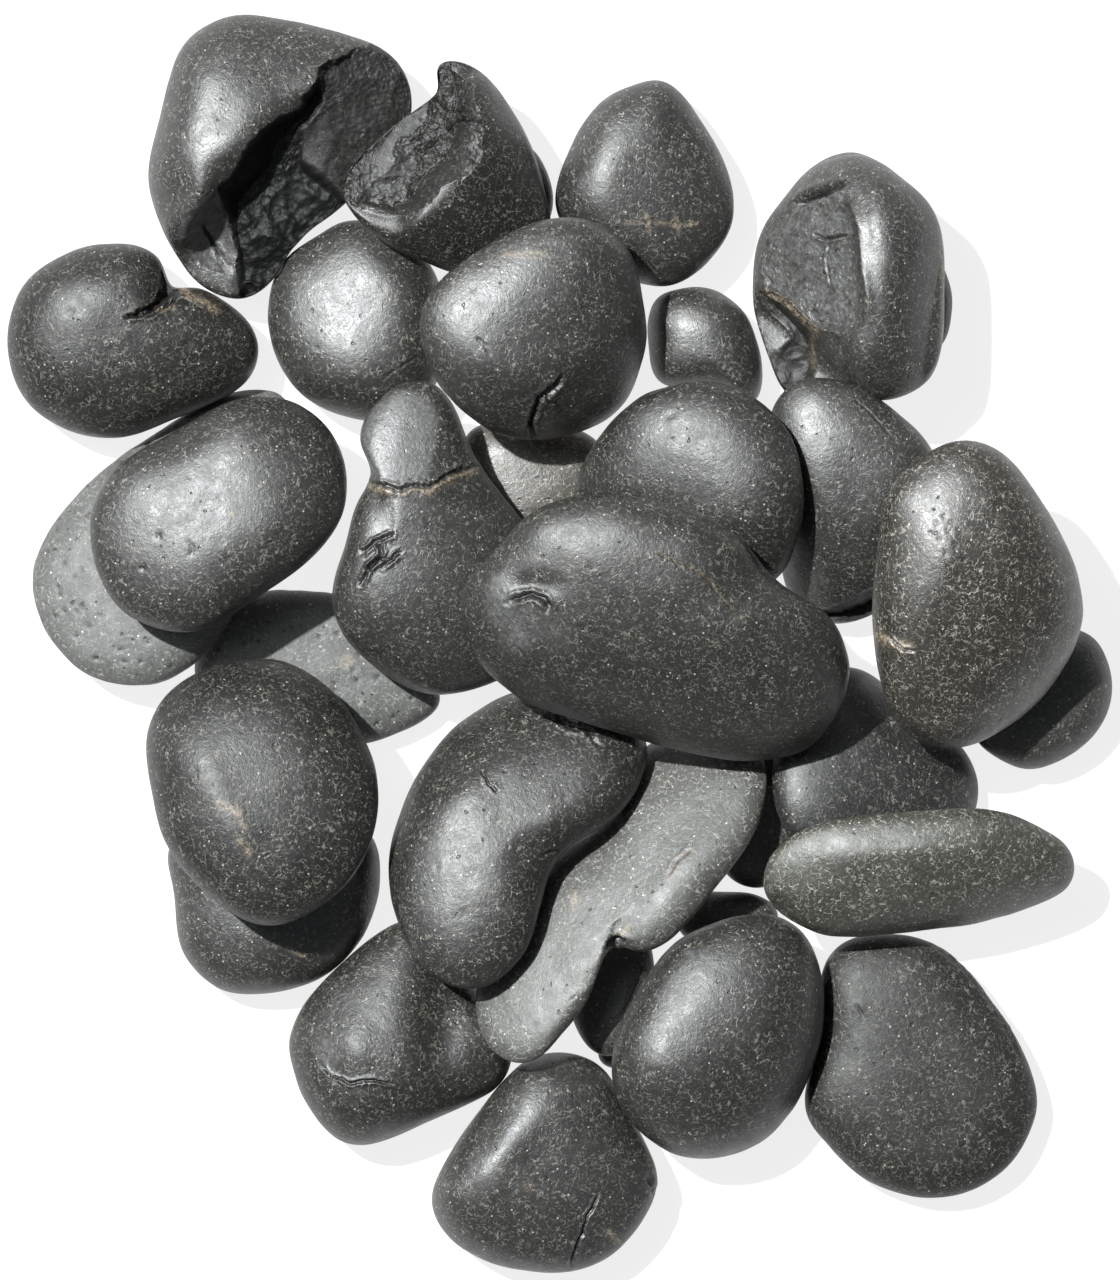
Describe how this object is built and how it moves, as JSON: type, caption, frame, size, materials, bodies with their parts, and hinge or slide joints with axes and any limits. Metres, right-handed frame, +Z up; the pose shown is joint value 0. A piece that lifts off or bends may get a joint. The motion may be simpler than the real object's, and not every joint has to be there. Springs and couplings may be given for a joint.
{
  "type": "basalt massage stones",
  "caption": "Loose heap of dark basalt massage stones, smooth water-worn pebbles with some chipped and cracked, each lifting off on its own.",
  "frame": {"origin": "middle of the heap's footprint, on the surface it lies on", "axes": "+Z up from the surface, +Y along the heap's longest side, +X across it"},
  "size_m": [0.3304, 0.3754, 0.079],
  "materials": {
    "brown_wedge_stone": "smooth brown-tinted basalt with pale speckles",
    "shaded_round_stone": "smooth semi-gloss dark basalt with fine pits",
    "shaded_long_stone": "smooth semi-gloss dark basalt with fine pits",
    "pale_slab_stone": "matte pale grey basalt with fine pits",
    "pitted_grey_stone": "matte pale grey basalt with fine pits",
    "smooth_oval_stone": "smooth semi-gloss dark basalt with fine pits",
    "notched_oval_stone": "smooth semi-gloss dark basalt with fine pits",
    "rust_marked_stone": "smooth semi-gloss dark basalt with fine pits",
    "round_dome_stone": "smooth semi-gloss dark basalt with fine pits",
    "hooked_shard_stone": "smooth semi-gloss dark basalt with fine pits",
    "waisted_stone": "smooth semi-gloss dark basalt with fine pits",
    "cracked_cap_stone": "smooth semi-gloss dark basalt with fine pits",
    "dark_triangle_stone": "matte dark basalt with fine pits",
    "bar_stone": "matte olive-grey basalt",
    "wedge_stone": "smooth semi-gloss dark basalt with fine pits",
    "speckled_drop_stone": "smooth brown-tinted basalt with pale speckles",
    "broad_dome_stone": "smooth semi-gloss dark basalt with fine pits",
    "belly_stone": "smooth semi-gloss dark basalt with fine pits",
    "shaded_small_stone": "smooth semi-gloss dark basalt with fine pits",
    "egg_stone": "smooth semi-gloss dark basalt with fine pits",
    "sliver_stone_under_ridge": "smooth semi-gloss dark basalt with fine pits",
    "sliver_stone_under_hook": "smooth semi-gloss dark basalt with fine pits",
    "tiny_stone": "smooth semi-gloss dark basalt with fine pits",
    "small_round_stone": "matte dark basalt with fine pits",
    "lower_oval_stone": "smooth semi-gloss dark basalt with fine pits",
    "flat_disc_stone": "matte dark basalt with fine pits",
    "cracked_pear_stone": "smooth semi-gloss dark basalt with fine pits",
    "saddle_stone": "smooth semi-gloss dark basalt with fine pits",
    "small_side_stone": "smooth semi-gloss dark basalt with fine pits",
    "ridged_chipped_stone": "smooth semi-gloss dark basalt with fine pits",
    "large_fractured_stone": "smooth semi-gloss dark basalt with fine pits",
    "rounded_triangle_stone": "smooth semi-gloss dark basalt with fine pits",
    "long_notched_stone": "matte pale grey basalt with fine pits",
    "bean_stone": "smooth semi-gloss dark basalt with fine pits"
  },
  "bodies": {
    "brown_wedge_stone_body": {"brown_wedge_stone": "brown_wedge_stone", "shaded_round_stone": "shaded_round_stone", "shaded_long_stone": "shaded_long_stone"},
    "pale_slab_stone_body": {"pale_slab_stone": "pale_slab_stone"},
    "pitted_grey_stone_body": {"pitted_grey_stone": "pitted_grey_stone"},
    "smooth_oval_stone_body": {"smooth_oval_stone": "smooth_oval_stone"},
    "notched_oval_stone_body": {"notched_oval_stone": "notched_oval_stone"},
    "rust_marked_stone_body": {"rust_marked_stone": "rust_marked_stone"},
    "round_dome_stone_body": {"round_dome_stone": "round_dome_stone"},
    "hooked_shard_stone_body": {"hooked_shard_stone": "hooked_shard_stone"},
    "waisted_stone_body": {"waisted_stone": "waisted_stone"},
    "cracked_cap_stone_body": {"cracked_cap_stone": "cracked_cap_stone"},
    "dark_triangle_stone_body": {"dark_triangle_stone": "dark_triangle_stone"},
    "bar_stone_body": {"bar_stone": "bar_stone"},
    "wedge_stone_body": {"wedge_stone": "wedge_stone"},
    "speckled_drop_stone_body": {"speckled_drop_stone": "speckled_drop_stone"},
    "broad_dome_stone_body": {"broad_dome_stone": "broad_dome_stone"},
    "belly_stone_body": {"belly_stone": "belly_stone"},
    "shaded_small_stone_body": {"shaded_small_stone": "shaded_small_stone"},
    "egg_stone_body": {"egg_stone": "egg_stone"},
    "sliver_under_ridge_body": {"sliver_stone_under_ridge": "sliver_stone_under_ridge"},
    "sliver_under_hook_body": {"sliver_stone_under_hook": "sliver_stone_under_hook"},
    "tiny_stone_body": {"tiny_stone": "tiny_stone"},
    "small_round_stone_body": {"small_round_stone": "small_round_stone"},
    "lower_oval_stone_body": {"lower_oval_stone": "lower_oval_stone"},
    "flat_disc_stone_body": {"flat_disc_stone": "flat_disc_stone"},
    "cracked_pear_stone_body": {"cracked_pear_stone": "cracked_pear_stone"},
    "saddle_stone_body": {"saddle_stone": "saddle_stone"},
    "small_side_stone_body": {"small_side_stone": "small_side_stone"},
    "ridged_chipped_stone_body": {"ridged_chipped_stone": "ridged_chipped_stone"},
    "large_fractured_stone_body": {"large_fractured_stone": "large_fractured_stone"},
    "rounded_triangle_stone_body": {"rounded_triangle_stone": "rounded_triangle_stone"},
    "long_notched_stone_body": {"long_notched_stone": "long_notched_stone"},
    "bean_stone_body": {"bean_stone": "bean_stone"}
  },
  "joints": [
    {"name": "pale_slab_lift", "type": "slide", "parent": "brown_wedge_stone_body", "child": "pale_slab_stone_body", "axis": [0, 0, 1], "range_m": [0, 0.05]},
    {"name": "pitted_grey_lift", "type": "slide", "parent": "pale_slab_stone_body", "child": "pitted_grey_stone_body", "axis": [0, 0, 1], "range_m": [0, 0.05]},
    {"name": "smooth_oval_lift", "type": "slide", "parent": "pitted_grey_stone_body", "child": "smooth_oval_stone_body", "axis": [0, 0, 1], "range_m": [0, 0.06]},
    {"name": "notched_oval_lift", "type": "slide", "parent": "pitted_grey_stone_body", "child": "notched_oval_stone_body", "axis": [0, 0, 1], "range_m": [0, 0.06]},
    {"name": "rust_marked_lift", "type": "slide", "parent": "pale_slab_stone_body", "child": "rust_marked_stone_body", "axis": [0, 0, 1], "range_m": [0, 0.1]},
    {"name": "round_dome_lift", "type": "slide", "parent": "pale_slab_stone_body", "child": "round_dome_stone_body", "axis": [0, 0, 1], "range_m": [0, 0.05]},
    {"name": "hooked_shard_lift", "type": "slide", "parent": "round_dome_stone_body", "child": "hooked_shard_stone_body", "axis": [-0.3536, 0.6124, 0.7071], "range_m": [0, 0.1]},
    {"name": "waisted_lift", "type": "slide", "parent": "round_dome_stone_body", "child": "waisted_stone_body", "axis": [0, 0, 1], "range_m": [0, 0.05]},
    {"name": "cracked_cap_lift", "type": "slide", "parent": "waisted_stone_body", "child": "cracked_cap_stone_body", "axis": [0, 0, 1], "range_m": [0, 0.06]},
    {"name": "dark_triangle_lift", "type": "slide", "parent": "waisted_stone_body", "child": "dark_triangle_stone_body", "axis": [0, 0, 1], "range_m": [0, 0.05]},
    {"name": "bar_lift", "type": "slide", "parent": "dark_triangle_stone_body", "child": "bar_stone_body", "axis": [0, 0, 1], "range_m": [0, 0.06]},
    {"name": "wedge_lift", "type": "slide", "parent": "dark_triangle_stone_body", "child": "wedge_stone_body", "axis": [0, 0, 1], "range_m": [0, 0.05]},
    {"name": "speckled_drop_lift", "type": "slide", "parent": "wedge_stone_body", "child": "speckled_drop_stone_body", "axis": [0, 0, 1], "range_m": [0, 0.06]},
    {"name": "broad_dome_lift", "type": "slide", "parent": "wedge_stone_body", "child": "broad_dome_stone_body", "axis": [0, 0, 1], "range_m": [0, 0.05]},
    {"name": "belly_lift", "type": "slide", "parent": "broad_dome_stone_body", "child": "belly_stone_body", "axis": [0, 0, 1], "range_m": [0, 0.07]},
    {"name": "shaded_small_lift", "type": "slide", "parent": "brown_wedge_stone_body", "child": "shaded_small_stone_body", "axis": [0.0885, -0.2432, 0.9659], "range_m": [0, 0.06]},
    {"name": "egg_lift", "type": "slide", "parent": "shaded_small_stone_body", "child": "egg_stone_body", "axis": [0, 0, 1], "range_m": [0, 0.07]},
    {"name": "sliver_under_ridge_lift", "type": "slide", "parent": "brown_wedge_stone_body", "child": "sliver_under_ridge_body", "axis": [0.9063, 0, 0.4226], "range_m": [0, 0.08]},
    {"name": "sliver_under_hook_pull", "type": "slide", "parent": "brown_wedge_stone_body", "child": "sliver_under_hook_body", "axis": [-0.0872, 0.9962, 0], "range_m": [0, 0.09]},
    {"name": "tiny_pull", "type": "slide", "parent": "brown_wedge_stone_body", "child": "tiny_stone_body", "axis": [0.5, -0.866, 0], "range_m": [0, 0.12]},
    {"name": "small_round_lift", "type": "slide", "parent": "brown_wedge_stone_body", "child": "small_round_stone_body", "axis": [0.8365, -0.483, 0.2588], "range_m": [0, 0.1]},
    {"name": "lower_oval_lift", "type": "slide", "parent": "brown_wedge_stone_body", "child": "lower_oval_stone_body", "axis": [-0.8529, -0.4924, 0.1736], "range_m": [0, 0.11]},
    {"name": "flat_disc_lift", "type": "slide", "parent": "brown_wedge_stone_body", "child": "flat_disc_stone_body", "axis": [0.5417, -0.4545, 0.7071], "range_m": [0, 0.11]},
    {"name": "cracked_pear_lift", "type": "slide", "parent": "brown_wedge_stone_body", "child": "cracked_pear_stone_body", "axis": [-0.0842, -0.9623, 0.2588], "range_m": [0, 0.1]},
    {"name": "saddle_lift", "type": "slide", "parent": "brown_wedge_stone_body", "child": "saddle_stone_body", "axis": [-0.5, -0.5, 0.7071], "range_m": [0, 0.13]},
    {"name": "small_side_lift", "type": "slide", "parent": "brown_wedge_stone_body", "child": "small_side_stone_body", "axis": [0.2241, 0.1294, 0.9659], "range_m": [0, 0.06]},
    {"name": "ridged_chipped_lift", "type": "slide", "parent": "brown_wedge_stone_body", "child": "ridged_chipped_stone_body", "axis": [0.3214, 0.383, 0.866], "range_m": [0, 0.1]},
    {"name": "large_fractured_lift", "type": "slide", "parent": "brown_wedge_stone_body", "child": "large_fractured_stone_body", "axis": [-0.2418, 0.6645, 0.7071], "range_m": [0, 0.12]},
    {"name": "rounded_triangle_lift", "type": "slide", "parent": "brown_wedge_stone_body", "child": "rounded_triangle_stone_body", "axis": [0.0868, 0.4924, 0.866], "range_m": [0, 0.08]},
    {"name": "long_notched_lift", "type": "slide", "parent": "brown_wedge_stone_body", "child": "long_notched_stone_body", "axis": [-0.2988, -0.6409, 0.7071], "range_m": [0, 0.09]},
    {"name": "bean_lift", "type": "slide", "parent": "long_notched_stone_body", "child": "bean_stone_body", "axis": [-0.183, -0.683, 0.7071], "range_m": [0, 0.08]}
  ]
}
